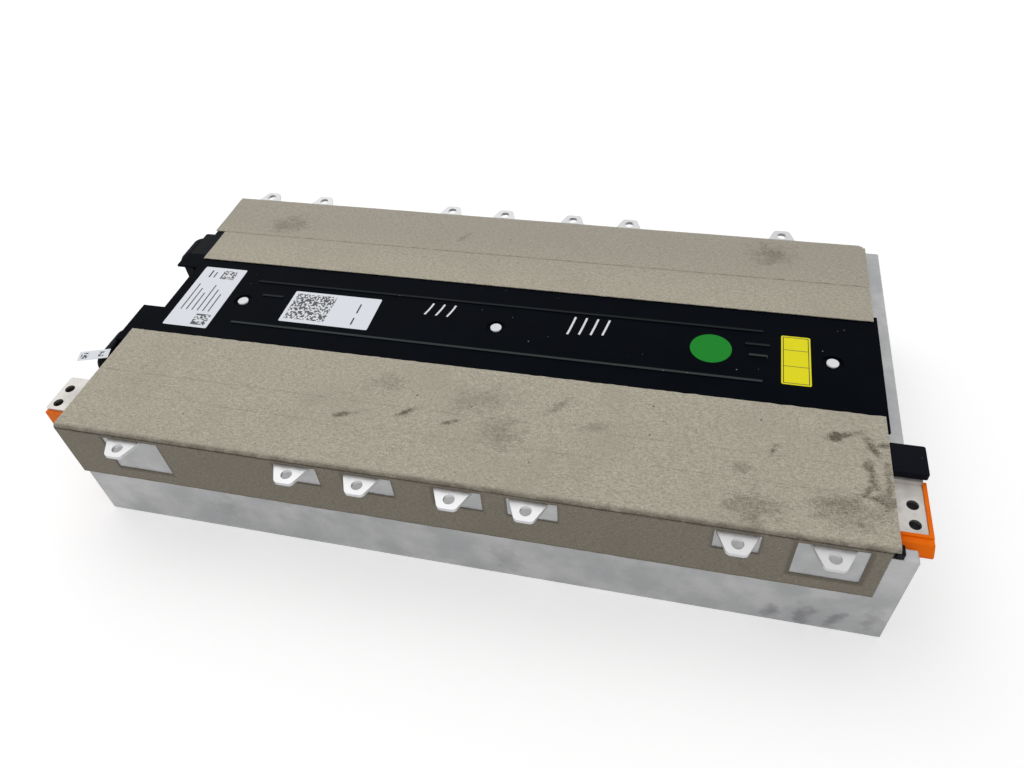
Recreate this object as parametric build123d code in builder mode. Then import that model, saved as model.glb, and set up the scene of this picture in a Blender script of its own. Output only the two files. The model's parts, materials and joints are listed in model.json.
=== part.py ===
"""High-voltage traction battery module: prismatic cells in series, held between two aluminium
end plates and two lugged side plates, with a glass-cloth wrap over the busbar lids.

Frame: origin at the middle of the underside, +X along the module, +Z up, millimetres.
"""
from build123d import *
import os

# ---------------------------------------------------------------- driving sizes
case_length = 625.0            # over the end plates
case_width = 322.0             # over the side plates
case_height = 98.0             # side plates and end plates
side_plate_t = 2.5
end_plate_t = 15.5
base_plate_t = 2.0
thermal_pad_t = 1.5
edge_break = 1.0

cell_count = 18
cell_height = 90.0
cell_pad_t = 1.5               # foam between two cells
end_insulator_t = 1.5
liner_t = 0.8                  # film between the cells and a side plate
cell_side_gap = 0.2
cell_corner_r = 3.0
cell_terminal_size = (15.0, 20.0, 2.5)
terminal_y = 124.6             # terminal row from the middle plane
vent_size = (16.0, 40.0, 1.0)

lug_reach = {-1: 16.5, 1: 20.5}     # front plate, back plate
lug_base_w = 28.0
lug_tip_w = 13.0
lug_t = 2.8
upstand_x = (-308.5, 293.0)    # raised edge that carries the lugs
lug_rise = 3.0                 # lug's upper face above the side plate's edge
lug_tip_r = 4.0
lug_hole_r = 4.2
lug_hole_in = 8.0              # hole centre from the lug's tip
small_window_drop = 20.0       # wrap's windows below the lugs
large_window_drop = 36.5
window_rise = 0.4              # window's edge above a lug
front_lugs = [                 # lug centre, window left of it, window right of it, drop
    (-256.0, 19.0, 28.0, large_window_drop),
    (-115.5, 14.5, 18.0, small_window_drop),
    (-60.8, 14.5, 21.5, small_window_drop),
    (7.5, 14.5, 20.5, small_window_drop),
    (62.0, 15.5, 20.0, small_window_drop),
    (201.6, 14.5, 14.5, small_window_drop),
    (261.2, 23.0, 23.0, large_window_drop),
]
back_lug_shift = -27.0         # the back plate carries the same row, turned round and shifted

deck_z = 104.8                 # top of the tray's walls
deck_t = 2.0                   # lids and centre cover
lid_lip_t = 2.4
lid_clear = 0.2
wrap_t = 1.2
front_fold_r = 2.5             # inside radius of the wrap's fold
back_fold_r = 5.5
wrap_hem_z = 51.0              # lower edge of the wrap on the side plates
wrap_right = {-1: 299.4, 1: 298.5}  # right edge of the wrap on top: front, back
wrap_hang_right = 295.0        # right edge of the hanging part
wrap_corner_cut = 9.0

tray_floor_t = 2.0
tray_wall_t = 3.0
tray_clear = 0.3
rib_y = 62.2
rib_w = 6.0

cover_half_w = 62.0
cover_left = -303.0
cover_right = 301.5
cover_tab_out = 21.0
back_tab_y = (43.0, 98.0)
front_tab_y = (-62.0, -16.0)
front_strip_y = -47.4          # inner edge of the front wrap
middle_strip_y = (55.8, 99.6)
middle_strip_left = -302.0
back_strip_y = 100.0
bead_h = 0.7
bead_w = 2.2
beads = [(-232.0, 214.0, -25.5), (-232.0, 214.0, 31.0), (-220.0, -199.5, 13.0), (200.0, 219.0, 15.0),
         (203.0, 217.5, 2.5)]
clip_x = (-234.5, -1.0, 265.5)
clip_y = 3.0
clip_head_r = 4.6
clip_stem_r = 3.0
clip_well_r = 8.0
clip_well_depth = 1.0

bar_t = 2.5
bar_z = 96.0
pad_y = (-139.5, -104.0)
pad_hole_y = (-132.5, -116.7)
pad_hole_r = 4.0               # M8
left_pad_out = 343.0
right_pad_out = 319.7
left_hole_x = -335.8
right_hole_x = 312.2
insert_r = 6.5
insert_h = 8.0
insert_floor = 1.5
block_wall_t = 2.6
block_drop = 10.0
left_block_drop = 22.0         # outside the end plate
left_block_y = (-142.0, -108.0)
block_front_t = 12.5           # sloped lip in front of the right pad
block_front_drop = 5.0
block_slope = 5.0
block_wall_rise = 1.0
notch_clear = 0.2
seal_x = (297.5, 303.0)        # rubber between the front lid and the right block
seal_y = (-160.5, -152.5)
seal_top_z = 102.5
cap_y = (-97.0, -71.0)
cap_out = 323.0
cap_t = 5.0
riser_y = (-97.0, -74.0)
riser_z = 99.5

link_w = 22.0
link_t = 2.0
link_arch = 2.0

label_t = 0.15

harness_r = 4.0
harness_bend_r = 5.5
harness_z = 99.0
harness_out = 328.5            # cable's centre line from the middle plane
loop_y = (57.5, 90.5)
lead_y = (-83.0, -46.0)
plug_out = 322.5
back_plug_y = (48.0, 97.0)
front_plug_y = (-60.0, -18.0)
plug_z = (88.0, 104.8)
end_plug_y = (-96.0, -70.0)
end_plug_z = (44.0, 62.0)
end_plug_out = 335.0
flag_size = (26.0, 11.0)
flag_turn = 18.0

# ---------------------------------------------------------------- sizes worked out
half_l = case_length / 2
half_w = case_width / 2
inner_w = half_w - side_plate_t
inner_l = half_l - end_plate_t
stack_half = inner_l - end_insulator_t
cell_pitch = (2 * stack_half + cell_pad_t) / cell_count
cell_t = cell_pitch - cell_pad_t
cell_half_y = inner_w - liner_t - cell_side_gap
cell_base_z = base_plate_t + thermal_pad_t
cell_top_z = cell_base_z + cell_height
cell_x = [-stack_half + cell_t / 2 + i * cell_pitch for i in range(cell_count)]
pad_x = [-stack_half + cell_t + cell_pad_t / 2 + i * cell_pitch for i in range(cell_count - 1)]
terminal_top_z = cell_top_z + cell_terminal_size[2]
lug_top_z = case_height + lug_rise
deck_top_z = deck_z + deck_t
wrap_top_z = deck_top_z + wrap_t
tray_half_x = inner_l - tray_clear
tray_half_y = inner_w - tray_clear
back_lugs = [(back_lug_shift - x, right, left, drop) for x, left, right, drop in front_lugs]
bar_top_z = bar_z + bar_t
block_y = (pad_y[0] - block_front_t, riser_y[0])
notch_y = {
    -1: (left_block_y[0] - notch_clear, pad_y[1] + notch_clear),
    1: (block_y[0] - notch_clear, block_y[1] + notch_clear),
}

os.makedirs("parts", exist_ok=True)


def keep(part, name):
    """Labels a finished piece and writes its STEP file."""
    part.label = name
    export_step(part, f"parts/{name}.step")


def slab(x0, x1, y0, y1, z0, z1, mode=Mode.ADD):
    """A box between two corners, for use inside a part's block."""
    with Locations(((x0 + x1) / 2, (y0 + y1) / 2, (z0 + z1) / 2)):
        return Box(x1 - x0, y1 - y0, z1 - z0, mode=mode)


# ---------------------------------------------------------------- case
with BuildPart() as base_plate:
    slab(-half_l, half_l, -inner_w, inner_w, 0, base_plate_t)
keep(base_plate.part, "base_plate")

with BuildPart() as thermal_pad:
    slab(-inner_l, inner_l, -inner_w, inner_w, base_plate_t, cell_base_z)
keep(thermal_pad.part, "thermal_pad")


def side_plate(side, lugs):
    """A bent side plate on side -1 (front) or 1 (back), with its row of drilled lugs."""
    with BuildPart() as plate:
        slab(-half_l, half_l, min(side * inner_w, side * half_w), max(side * inner_w, side * half_w),
             0, case_height)
        fillet(plate.edges().filter_by(Axis.Y), radius=edge_break)
        slab(*upstand_x, *sorted((side * inner_w, side * half_w)), case_height, lug_top_z)
        for x, _, _, _ in lugs:
            root = side * inner_w
            shoulder = side * half_w
            tip = side * (half_w + lug_reach[side])
            with BuildSketch(Plane.XY.offset(lug_top_z - lug_t)) as outline:
                with BuildLine():
                    Polyline(
                        (x - lug_base_w / 2, root),
                        (x + lug_base_w / 2, root),
                        (x + lug_base_w / 2, shoulder),
                        (x + lug_tip_w / 2, tip),
                        (x - lug_tip_w / 2, tip),
                        (x - lug_base_w / 2, shoulder),
                        close=True,
                    )
                make_face()
                ends = outline.vertices().sort_by(Axis.Y)
                fillet(ends[:2] if side < 0 else ends[-2:], radius=lug_tip_r)
            extrude(amount=lug_t)
            with BuildSketch(Plane.XY.offset(lug_top_z)):
                with Locations((x, tip - side * lug_hole_in)):
                    Circle(lug_hole_r)
            extrude(amount=-lug_t, mode=Mode.SUBTRACT)
    return plate.part


keep(side_plate(-1, front_lugs), "side_plate_front")
keep(side_plate(1, back_lugs), "side_plate_back")


def end_plate(side):
    """The solid end plate on side -1 (left) or 1 (right), notched for the terminal."""
    x0, x1 = sorted((side * inner_l, side * half_l))
    with BuildPart() as plate:
        slab(x0, x1, -inner_w, inner_w, base_plate_t, case_height)
        chamfer(plate.edges().filter_by(Axis.Y).group_by(Axis.Z)[-1], length=edge_break)
        slab(x0, x1, notch_y[side][0], notch_y[side][1], bar_z - block_drop, case_height, mode=Mode.SUBTRACT)
    return plate.part


keep(end_plate(-1), "end_plate_left")
keep(end_plate(1), "end_plate_right")

for side, name in ((-1, "left"), (1, "right")):
    with BuildPart() as insulator:
        x0, x1 = sorted((side * stack_half, side * inner_l))
        slab(x0, x1, -cell_half_y, cell_half_y, cell_base_z, cell_top_z)
    keep(insulator.part, f"end_insulator_{name}")

for side, name in ((-1, "front"), (1, "back")):
    with BuildPart() as liner:
        y0, y1 = sorted((side * (inner_w - liner_t), side * inner_w))
        slab(-inner_l, inner_l, y0, y1, cell_base_z, cell_top_z)
    keep(liner.part, f"side_liner_{name}")

# ---------------------------------------------------------------- cells
for number, x in enumerate(cell_x, start=1):
    with BuildPart() as cell:
        slab(x - cell_t / 2, x + cell_t / 2, -cell_half_y, cell_half_y, cell_base_z, cell_top_z)
        fillet(cell.edges().filter_by(Axis.Z), radius=cell_corner_r)
        with BuildSketch(Plane.XY.offset(cell_top_z)):
            with Locations((x, -terminal_y), (x, terminal_y)):
                RectangleRounded(cell_terminal_size[0], cell_terminal_size[1], 1.5)
        extrude(amount=cell_terminal_size[2])
        with BuildSketch(Plane.XY.offset(cell_top_z)):
            with Locations((x, 0)):
                SlotOverall(vent_size[1], vent_size[0], rotation=90)
        extrude(amount=-vent_size[2], mode=Mode.SUBTRACT)
    keep(cell.part, f"cell_{number:02d}")

with BuildPart() as cell_pads:
    for x in pad_x:
        slab(x - cell_pad_t / 2, x + cell_pad_t / 2, -cell_half_y, cell_half_y, cell_base_z, cell_top_z)
keep(cell_pads.part, "cell_pads")

# ---------------------------------------------------------------- contacting tray
tray_floor_z = cell_top_z
window_x = cell_terminal_size[0] + 2
window_y = cell_terminal_size[1] + 4
slot_z = (bar_z - 0.5, riser_z + bar_t + 0.5)
with BuildPart() as contact_tray:
    slab(-tray_half_x, tray_half_x, -tray_half_y, tray_half_y, tray_floor_z, deck_z)
    slab(-tray_half_x + tray_wall_t, tray_half_x - tray_wall_t, -tray_half_y + tray_wall_t,
         tray_half_y - tray_wall_t, tray_floor_z + tray_floor_t, deck_z, mode=Mode.SUBTRACT)
    for y in (-rib_y, rib_y):
        slab(-tray_half_x + tray_wall_t, tray_half_x - tray_wall_t, y - rib_w / 2, y + rib_w / 2,
             tray_floor_z + tray_floor_t, deck_z)
    for x in cell_x:
        for y in (-terminal_y, terminal_y):
            slab(x - window_x / 2, x + window_x / 2, y - window_y / 2, y + window_y / 2,
                 tray_floor_z, tray_floor_z + tray_floor_t, mode=Mode.SUBTRACT)
        slab(x - vent_size[0] / 2, x + vent_size[0] / 2, -vent_size[1] / 2, vent_size[1] / 2,
             tray_floor_z, tray_floor_z + tray_floor_t, mode=Mode.SUBTRACT)
    for x0, x1 in ((-tray_half_x, -tray_half_x + tray_wall_t), (tray_half_x - tray_wall_t, tray_half_x)):
        slab(x0, x1, pad_y[0] - 0.5, riser_y[1] + 0.5, slot_z[0], slot_z[1], mode=Mode.SUBTRACT)
keep(contact_tray.part, "contact_tray")

shield_half_y = rib_y - rib_w / 2 - lid_clear
shield_z = tray_floor_z + tray_floor_t
with BuildPart() as vent_shield:
    slab(-stack_half + tray_wall_t, stack_half - tray_wall_t, -shield_half_y, shield_half_y,
         shield_z, shield_z + 1.0)
keep(vent_shield.part, "vent_shield")


# ---------------------------------------------------------------- busbars
def links(first_cells, y):
    """Series links that join each named cell to the next one, with a small arch between them."""
    with BuildPart() as row:
        for i in first_cells:
            x0 = cell_x[i] - cell_terminal_size[0] / 2
            x1 = cell_x[i + 1] + cell_terminal_size[0] / 2
            mid = (x0 + x1) / 2
            with BuildSketch(Plane.XZ.offset(-y - link_w / 2)):
                with BuildLine():
                    Polyline(
                        (x0, terminal_top_z),
                        (mid - 2 * link_arch, terminal_top_z),
                        (mid - link_arch, terminal_top_z + link_arch),
                        (mid + link_arch, terminal_top_z + link_arch),
                        (mid + 2 * link_arch, terminal_top_z),
                        (x1, terminal_top_z),
                        (x1, terminal_top_z + link_t),
                        (mid + 3 * link_arch, terminal_top_z + link_t),
                        (mid + 1.5 * link_arch, terminal_top_z + link_t + link_arch),
                        (mid - 1.5 * link_arch, terminal_top_z + link_t + link_arch),
                        (mid - 3 * link_arch, terminal_top_z + link_t),
                        (x0, terminal_top_z + link_t),
                        close=True,
                    )
                make_face()
            extrude(amount=link_w)
    return row.part


keep(links(range(0, cell_count - 1, 2), terminal_y), "busbar_links_back")
keep(links(range(1, cell_count - 1, 2), -terminal_y), "busbar_links_front")

with BuildPart() as terminal_bar_left:
    slab(-left_pad_out, cell_x[0] + cell_terminal_size[0] / 2, *pad_y, bar_z, bar_top_z)
    fillet(terminal_bar_left.edges().filter_by(Axis.Z).group_by(Axis.X)[0], radius=2.0)
    with BuildSketch(Plane.XY.offset(bar_top_z)):
        with Locations(*[(left_hole_x, y) for y in pad_hole_y]):
            Circle(pad_hole_r)
    extrude(amount=-bar_t, mode=Mode.SUBTRACT)
keep(terminal_bar_left.part, "terminal_bar_left")

riser_foot_x = cell_x[-1] - cell_terminal_size[0] / 2
with BuildPart() as terminal_bar_right:
    slab(riser_foot_x, riser_foot_x + 20, pad_y[0], riser_y[0], bar_z, bar_top_z)
    slab(riser_foot_x, riser_foot_x + 20, riser_y[0] - bar_t, riser_y[0], bar_z, riser_z + bar_t)
    slab(riser_foot_x, right_pad_out, riser_y[0] - bar_t, riser_y[1], riser_z, riser_z + bar_t)
    slab(half_l - end_plate_t + 0.5, right_pad_out, riser_y[0] - bar_t, riser_y[0], bar_z, riser_z + bar_t)
    slab(half_l - end_plate_t + 0.5, right_pad_out, pad_y[0], riser_y[0], bar_z, bar_top_z)
    with BuildSketch(Plane.XY.offset(bar_top_z)):
        with Locations(*[(right_hole_x, y) for y in pad_hole_y]):
            Circle(pad_hole_r)
    extrude(amount=-bar_t, mode=Mode.SUBTRACT)
keep(terminal_bar_right.part, "terminal_bar_right")

for x, name in ((left_hole_x, "left"), (right_hole_x, "right")):
    with BuildPart() as inserts:
        with BuildSketch(Plane.XY.offset(bar_z)):
            with Locations(*[(x, y) for y in pad_hole_y]):
                Circle(insert_r)
        extrude(amount=-insert_h)
        with BuildSketch(Plane.XY.offset(bar_z)):
            with Locations(*[(x, y) for y in pad_hole_y]):
                Circle(pad_hole_r)
        extrude(amount=insert_floor - insert_h, mode=Mode.SUBTRACT)
    keep(inserts.part, f"terminal_inserts_{name}")


with BuildPart() as terminal_block_left:
    slab(-half_l, -inner_l - lid_clear, *left_block_y, bar_z - block_drop, bar_z)
    slab(-left_pad_out, -half_l, *left_block_y, bar_z - left_block_drop, bar_z)
    foot = terminal_block_left.edges().filter_by(Axis.Y).group_by(Axis.Z)[0].sort_by(Axis.X)
    chamfer(foot[0], length=8.0)
    with Locations(*[(left_hole_x, y, bar_z - insert_h / 2) for y in pad_hole_y]):
        Cylinder(insert_r, insert_h, mode=Mode.SUBTRACT)
keep(terminal_block_left.part, "terminal_block_left")

wall_x = (right_pad_out + lid_clear, right_pad_out + lid_clear + block_wall_t)
with BuildPart() as terminal_block_right:
    slab(inner_l + lid_clear, wall_x[0], pad_y[0] - block_wall_t, block_y[1], bar_z - block_drop, bar_z)
    slab(inner_l + lid_clear, wall_x[1], block_y[0], pad_y[0] - lid_clear, bar_z - block_front_drop, bar_top_z)
    front = terminal_block_right.faces().sort_by(Axis.Y)[0]
    chamfer(front.edges().filter_by(Axis.X).sort_by(Axis.Z)[-1], length=block_slope)
    slab(*wall_x, pad_y[0] - block_wall_t, block_y[1], bar_z - block_front_drop, bar_top_z + block_wall_rise)
    slab(inner_l + lid_clear, wall_x[0], pad_y[0] - block_wall_t, pad_y[0] - lid_clear,
         bar_z, bar_top_z + block_wall_rise)
    with Locations(*[(right_hole_x, y, bar_z - insert_h / 2) for y in pad_hole_y]):
        Cylinder(insert_r, insert_h, mode=Mode.SUBTRACT)
keep(terminal_block_right.part, "terminal_block_right")

with BuildPart() as corner_seal:
    slab(*seal_x, *seal_y, case_height, seal_top_z)
    fillet(corner_seal.edges().filter_by(Axis.Z), radius=1.0)
keep(corner_seal.part, "corner_seal")

with BuildPart() as terminal_cap:
    slab(wrap_right[-1] + 0.5, cap_out, cap_y[0], cap_y[1], riser_z + bar_t, riser_z + bar_t + cap_t)
    fillet(terminal_cap.edges().filter_by(Axis.Z).group_by(Axis.X)[-1], radius=1.5)
    fillet(terminal_cap.faces().sort_by(Axis.Z)[-1].edges(), radius=0.6)
keep(terminal_cap.part, "terminal_cap")


# ---------------------------------------------------------------- lids, cover and wrap
def busbar_lid(side, fold_r):
    """The lid over one busbar row, with a lip down to the side plate and to the left end plate."""
    y_in = side * (cover_half_w + lid_clear)
    y_out = side * half_w
    lip_z = lug_top_z + lid_clear
    x_left = -half_l + wrap_t
    with BuildPart() as lid:
        slab(x_left, tray_half_x, *sorted((y_in, y_out)), deck_z, deck_top_z)
        slab(x_left, tray_half_x, *sorted((y_out, side * (half_w - lid_lip_t))), lip_z, deck_z)
        slab(x_left, x_left + lid_lip_t, *sorted((y_in, side * inner_w)), case_height, deck_z)
        slab(x_left, x_left + lid_lip_t, *notch_y[-1], case_height, bar_top_z + lid_clear, mode=Mode.SUBTRACT)
        edge = lid.edges().filter_by(Axis.X).group_by(Axis.Z)[-1].sort_by(Axis.Y)
        fillet(edge[0 if side < 0 else -1], radius=fold_r)
    return lid.part


keep(busbar_lid(-1, front_fold_r), "busbar_lid_front")
keep(busbar_lid(1, back_fold_r), "busbar_lid_back")

with BuildPart() as centre_cover:
    slab(cover_left, cover_right, -cover_half_w, cover_half_w, deck_z, deck_top_z)
    slab(cover_left - cover_tab_out, cover_left, -cover_half_w, front_tab_y[1], deck_z, deck_top_z)
    slab(cover_left - cover_tab_out, cover_left, back_tab_y[0], cover_half_w, deck_z, deck_top_z)
    with BuildSketch(Plane.XY.offset(deck_top_z)):
        for x0, x1, y in beads:
            with Locations(((x0 + x1) / 2, y)):
                SlotOverall(x1 - x0, bead_w)
    extrude(amount=bead_h)
    with BuildSketch(Plane.XY.offset(deck_top_z)):
        with Locations(*[(x, clip_y) for x in clip_x]):
            Circle(clip_well_r)
    extrude(amount=-clip_well_depth, mode=Mode.SUBTRACT)
    with BuildSketch(Plane.XY.offset(deck_top_z)):
        with Locations(*[(x, clip_y) for x in clip_x]):
            Circle(clip_stem_r)
    extrude(amount=-deck_t, mode=Mode.SUBTRACT)
keep(centre_cover.part, "centre_cover")

with BuildPart() as cover_clips:
    with BuildSketch(Plane.XY.offset(deck_top_z - clip_well_depth)):
        with Locations(*[(x, clip_y) for x in clip_x]):
            Circle(clip_head_r)
    extrude(amount=1.2)
    with BuildSketch(Plane.XY.offset(deck_top_z - clip_well_depth)):
        with Locations(*[(x, clip_y) for x in clip_x]):
            Circle(clip_stem_r - 0.05)
    extrude(amount=-(deck_top_z - clip_well_depth - shield_z - 1.0))
keep(cover_clips.part, "cover_clips")


def wrap(side, y_in, lugs, fold_r, corner_cut):
    """A glass-cloth wrap folded over one long edge, with windows cut round the lugs."""
    y_out = side * (half_w + wrap_t)
    y_cut = side * (half_w - wrap_t)
    x_right = wrap_right[side]
    with BuildPart() as cloth:
        slab(-half_l, x_right, *sorted((y_in, y_out)), wrap_hem_z, wrap_top_z)
        edges = cloth.edges().filter_by(Axis.X).group_by(Axis.Z)[-1].sort_by(Axis.Y)
        fillet(edges[0 if side < 0 else -1], radius=fold_r + wrap_t)
        with BuildPart(mode=Mode.PRIVATE) as hollow:
            slab(-half_l, x_right, *sorted((y_in, side * half_w)), wrap_hem_z, deck_top_z)
            inner = hollow.edges().filter_by(Axis.X).group_by(Axis.Z)[-1].sort_by(Axis.Y)
            fillet(inner[0 if side < 0 else -1], radius=fold_r)
        add(hollow.part, mode=Mode.SUBTRACT)
        slab(wrap_hang_right, x_right, *sorted((y_cut, y_out)), wrap_hem_z, lug_top_z, mode=Mode.SUBTRACT)
        for x, left, right, drop in lugs:
            slab(x - left, x + right, *sorted((y_cut, y_out)),
                 lug_top_z - drop, lug_top_z + window_rise, mode=Mode.SUBTRACT)
        if corner_cut:
            with BuildSketch(Plane.XY.offset(wrap_hem_z)):
                with BuildLine():
                    Polyline((x_right, y_out), (x_right - corner_cut, y_out),
                             (x_right, y_out - side * corner_cut), close=True)
                make_face()
            extrude(amount=wrap_top_z - wrap_hem_z, mode=Mode.SUBTRACT)
    return cloth.part


keep(wrap(-1, front_strip_y, front_lugs, front_fold_r, 0), "wrap_front")
keep(wrap(1, back_strip_y, back_lugs, back_fold_r, wrap_corner_cut), "wrap_back")

with BuildPart() as wrap_middle:
    slab(middle_strip_left, wrap_right[1], *middle_strip_y, deck_top_z, wrap_top_z)
keep(wrap_middle.part, "wrap_middle")

# ---------------------------------------------------------------- stickers
stickers = {
    "label_white_large": (-293.0, -250.5, -37.0, 44.5),
    "label_white_small": (-191.0, -109.0, -17.5, 23.0),
    "label_yellow": (227.5, 249.5, -25.5, 28.8),
}
for name, (x0, x1, y0, y1) in stickers.items():
    with BuildPart() as sticker:
        with BuildSketch(Plane.XY.offset(deck_top_z)):
            with Locations(((x0 + x1) / 2, (y0 + y1) / 2)):
                RectangleRounded(x1 - x0, y1 - y0, 1.5)
        extrude(amount=label_t)
    keep(sticker.part, name)

with BuildPart() as label_green:
    with BuildSketch(Plane.XY.offset(deck_top_z)):
        with Locations((174.0, 5.3)):
            Circle(16.2)
    extrude(amount=label_t)
keep(label_green.part, "label_green")

# ---------------------------------------------------------------- sense connectors and leads
for name, y in (("back", back_plug_y), ("front", front_plug_y)):
    with BuildPart() as plug:
        slab(-plug_out, -half_l, *y, *plug_z)
        fillet(plug.edges().filter_by(Axis.Z).group_by(Axis.X)[0], radius=2.0)
    keep(plug.part, f"sense_connector_{name}")

with BuildPart() as end_plug:
    slab(-end_plug_out, -half_l, *end_plug_y, *end_plug_z)
    fillet(end_plug.edges().filter_by(Axis.Z).group_by(Axis.X)[0], radius=2.0)
keep(end_plug.part, "sense_connector_end")


def lead(points):
    """A round cable swept along a bent route."""
    with BuildPart() as cable:
        with BuildLine() as route:
            FilletPolyline(*points, radius=harness_bend_r)
        with BuildSketch(Plane(origin=route.line @ 0, z_dir=route.line % 0)):
            Circle(harness_r)
        sweep()
    return cable.part


keep(lead([
    (-plug_out, loop_y[1], harness_z),
    (-harness_out, loop_y[1], harness_z),
    (-harness_out, loop_y[0], harness_z),
    (-plug_out, loop_y[0], harness_z),
]), "harness_loop")
keep(lead([
    (-plug_out, lead_y[1], harness_z),
    (-harness_out, lead_y[1], harness_z),
    (-harness_out, lead_y[0], harness_z),
    (-harness_out, lead_y[0], end_plug_z[1]),
]), "harness_lead")

with BuildPart() as harness_flag:
    with BuildSketch(Plane.XY.offset(harness_z + harness_r)):
        with Locations((-harness_out - flag_size[0] / 4, lead_y[0] + flag_size[1] / 4)):
            Rectangle(*flag_size, rotation=flag_turn)
    extrude(amount=label_t * 2)
keep(harness_flag.part, "harness_flag")
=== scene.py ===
"""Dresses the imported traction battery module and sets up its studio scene.

Every length in the code is in metres, in the CAD's frame: +X along the module, +Z up.
"""
import json
import math
import random

import bpy
from mathutils import Matrix, Vector, noise


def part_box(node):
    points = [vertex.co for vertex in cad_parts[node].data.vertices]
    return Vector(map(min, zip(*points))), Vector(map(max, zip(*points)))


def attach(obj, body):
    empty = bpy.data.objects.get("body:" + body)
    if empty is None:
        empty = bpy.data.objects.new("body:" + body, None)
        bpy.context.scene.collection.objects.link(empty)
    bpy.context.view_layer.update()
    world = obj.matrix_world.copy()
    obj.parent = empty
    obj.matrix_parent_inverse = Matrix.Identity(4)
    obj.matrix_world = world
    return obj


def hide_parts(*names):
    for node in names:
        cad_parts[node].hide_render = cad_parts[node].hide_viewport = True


bl_info = {
    "name": "Traction battery module",
    "version": (1, 0, 0),
    "blender": (4, 5, 0),
    "location": "View3D > Sidebar > Module",
    "description": "Dresses the CAD model of a traction battery module",
    "category": "Object",
}

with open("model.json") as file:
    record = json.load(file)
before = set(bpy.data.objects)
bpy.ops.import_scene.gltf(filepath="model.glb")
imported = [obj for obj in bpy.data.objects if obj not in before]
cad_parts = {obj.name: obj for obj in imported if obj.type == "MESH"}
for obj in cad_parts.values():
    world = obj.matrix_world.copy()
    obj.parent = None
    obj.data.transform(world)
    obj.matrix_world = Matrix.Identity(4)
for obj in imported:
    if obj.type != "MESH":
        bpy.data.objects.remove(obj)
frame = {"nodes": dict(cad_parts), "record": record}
MM = 0.001
FRONT, BACK = -1, 1
FOLD_R = {FRONT: 2.5 * MM, BACK: 5.5 * MM}
FLAP_RIGHT = 295.0 * MM         # the hanging part's right edge
CORNER_CUT = 9.0 * MM
WINDOW_TOP = 101.4 * MM
LUG_TOP = 101.0 * MM
WRAP_T = 1.2 * MM               # the CAD's cloth, which the thinner modelled cloth lies inside
PRINT_GAP = 0.02 * MM           # prints and marks stand this far off their label
FOLD_SHADOW_LINE = (-162.2 * MM, 104.4 * MM)   # y and z of the painted shadow line under the front fold
LUG_HIGHLIGHT_FROM = (161.2 * MM, 162.0 * MM)     # a side plate's lugs carry a painted highlight from here, from the middle
BEAD_HIGHLIGHT_FROM = (107.1 * MM, 107.5 * MM)    # the cover's beads carry a painted highlight from this height
UNLIMITED = 1000.0              # a smudge's size across the surface it lies on
SEAT_GAP = 0.35 * MM            # under the cloth, so that no lid shows through it
LEFT_REACH = {FRONT: 3.5 * MM, BACK: 0.0}

# lug centre, window left of it, window right of it, drop of the window's lower edge
LUGS = [
    (-256.0, 19.0, 28.0, 36.5),
    (-115.5, 14.5, 18.0, 20.0),
    (-60.8, 14.5, 21.5, 20.0),
    (7.5, 14.5, 20.5, 20.0),
    (62.0, 15.5, 20.0, 20.0),
    (201.6, 14.5, 14.5, 20.0),
    (261.2, 23.0, 23.0, 36.5),
]
BACK_SHIFT = -27.0
FLAG_TURN = 18.0                # degrees

# smudges on the cloth: x, y, length, width in millimetres, angle in degrees, strength
TOP_SMUDGES = [
    (-240.0, 119.0, 46.0, 26.0, 10.0, 0.55),
    (-62.0, 121.0, 16.0, 6.0, 60.0, 0.45),
    (-93.0, 24.0, 20.0, 9.0, 0.0, 0.15),
    (219.0, 134.0, 40.0, 30.0, 0.0, 0.60),
    (-91.0, -111.0, 24.0, 5.0, 18.0, 1.00),
    (-46.0, -102.0, 18.0, 6.0, 35.0, 1.05),
    (-11.0, -107.0, 15.0, 5.0, 30.0, 1.10),
    (-69.0, -75.0, 30.0, 20.0, 0.0, 0.40),
    (10.0, -80.0, 54.0, 30.0, 20.0, 0.35),
    (30.0, -110.0, 30.0, 34.0, 0.0, 0.50),
    (66.0, -78.0, 24.0, 8.0, 50.0, 0.50),
    (96.0, -93.0, 22.0, 12.0, 0.0, 0.40),
    (201.0, -112.0, 14.0, 12.0, 0.0, 0.45),
    (222.0, -93.0, 14.0, 6.0, 70.0, 1.10),
    (263.0, -74.0, 14.0, 9.0, 25.0, 1.60),
    (270.0, -71.0, 24.0, 7.0, 25.0, 1.10),
    (288.0, -79.0, 26.0, 7.0, 120.0, 1.10),
    (296.0, -76.0, 14.0, 6.0, 10.0, 1.10),
    (286.0, -104.0, 8.0, 34.0, 10.0, 1.05),
    (296.0, -110.0, 6.0, 60.0, 0.0, 0.80),
    (293.0, -125.0, 16.0, 18.0, 0.0, 1.10),
    (283.0, -117.0, 16.0, 6.0, 60.0, 1.00),
    (209.0, -144.0, 42.0, 26.0, 0.0, 0.55),
    (268.0, -136.0, 46.0, 30.0, 0.0, 0.65),
]
CREASES = (-97.0, -121.0)       # y of faint fold lines in the front sheet
METAL_SMUDGES = [
    (236.0, 10.0, 13.0, 20.0, 0.0, 1.0),
    (257.0, 12.0, 14.0, 28.0, 0.0, 1.1),
    (264.0, 20.0, 14.0, 7.0, 0.0, 0.9),
    (279.0, 14.0, 10.0, 22.0, -25.0, 1.1),
    (284.0, 22.0, 12.0, 7.0, 20.0, 0.8),
    (302.0, 20.0, 14.0, 30.0, 0.0, 0.6),
    (40.0, 20.0, 26.0, 30.0, 0.0, 0.5),
    (-190.0, 26.0, 40.0, 20.0, 0.0, 0.4),
]


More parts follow.
